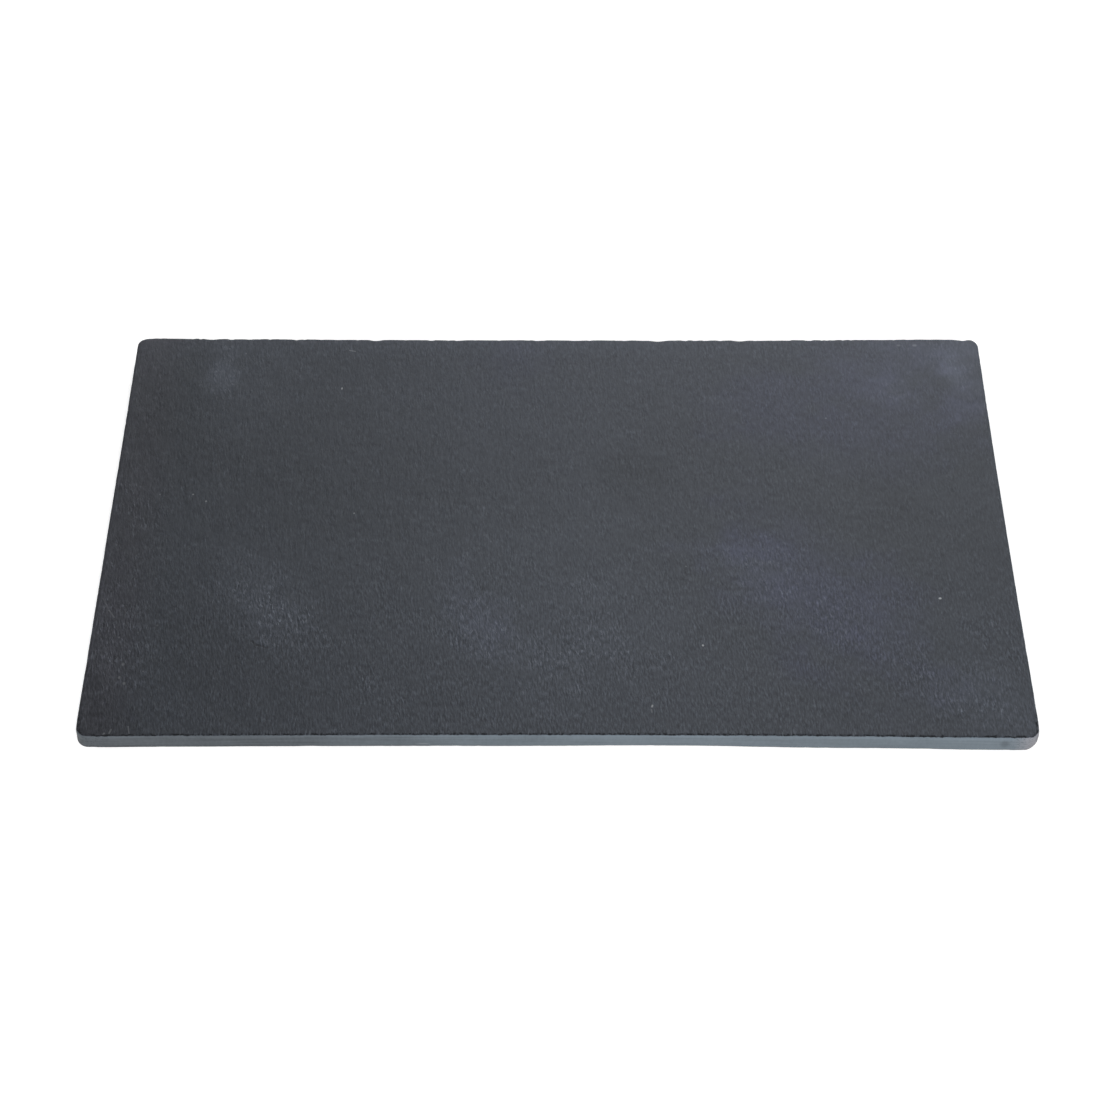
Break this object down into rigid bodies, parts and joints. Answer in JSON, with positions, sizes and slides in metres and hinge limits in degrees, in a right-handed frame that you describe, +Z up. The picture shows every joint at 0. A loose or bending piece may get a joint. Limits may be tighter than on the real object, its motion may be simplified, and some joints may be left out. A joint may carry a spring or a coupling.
{
  "type": "slate serving board",
  "caption": "Flat rectangular slate serving board with rounded corners, a riven top and smooth sawn edges, standing on low stuck-on rubber feet.",
  "frame": {"origin": "on the table surface, under the middle of the slab", "axes": "+X along the width to the right, +Y from the front edge to the back edge, +Z up"},
  "size_m": [0.28, 0.18, 0.0066],
  "materials": {
    "slate": "oiled riven slate with a soft sheen; paler smooth-sawn edges",
    "foot_rubber": "matt moulded rubber",
    "adhesive_film": "hazy acrylic adhesive film"
  },
  "bodies": {
    "root": {"slate_slab": "slate", "foot_pad_front_left": "foot_rubber", "foot_pad_front_right": "foot_rubber", "foot_pad_rear_left": "foot_rubber", "foot_pad_rear_right": "foot_rubber", "adhesive_disc_front_left": "adhesive_film", "adhesive_disc_front_right": "adhesive_film", "adhesive_disc_rear_left": "adhesive_film", "adhesive_disc_rear_right": "adhesive_film"}
  },
  "joints": []
}
